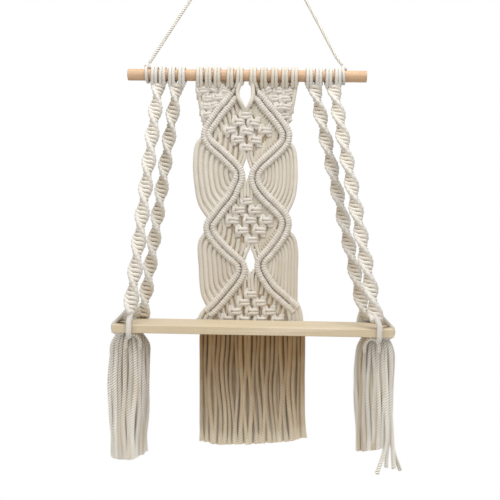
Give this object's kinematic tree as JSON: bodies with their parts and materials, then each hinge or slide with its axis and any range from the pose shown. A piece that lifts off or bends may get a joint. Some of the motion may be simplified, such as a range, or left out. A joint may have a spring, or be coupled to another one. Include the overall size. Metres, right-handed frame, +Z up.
{
  "type": "macrame wall shelf with wooden rod",
  "caption": "Hanging shelf of knotted cotton cord on a wooden rod, with a panel of diamonds, spiral straps, a wooden board, a fringe and tassels.",
  "frame": {"origin": "the hanging point: the underside of the hanging cord's bend, where a hook or nail bears", "axes": "+Z up, +X to the right seen from the front, -Y out from the wall toward the viewer"},
  "size_m": [0.4547, 0.1618, 0.9026],
  "materials": {
    "cotton_cord": "soft twisted cotton, undyed",
    "board_wood": "planed pale pine, unvarnished",
    "rod_wood": "sanded dowel, unvarnished"
  },
  "bodies": {
    "root": {"rod": "rod_wood", "board": "board_wood", "panel": "cotton_cord", "fringe": "cotton_cord", "strap_left_front": "cotton_cord", "strap_left_back": "cotton_cord", "strap_right_back": "cotton_cord", "strap_right_front": "cotton_cord", "tassel_left": "cotton_cord", "tassel_right": "cotton_cord", "hanger_cord": "cotton_cord", "hitch_left": "cotton_cord", "hitch_right": "cotton_cord"}
  },
  "joints": []
}
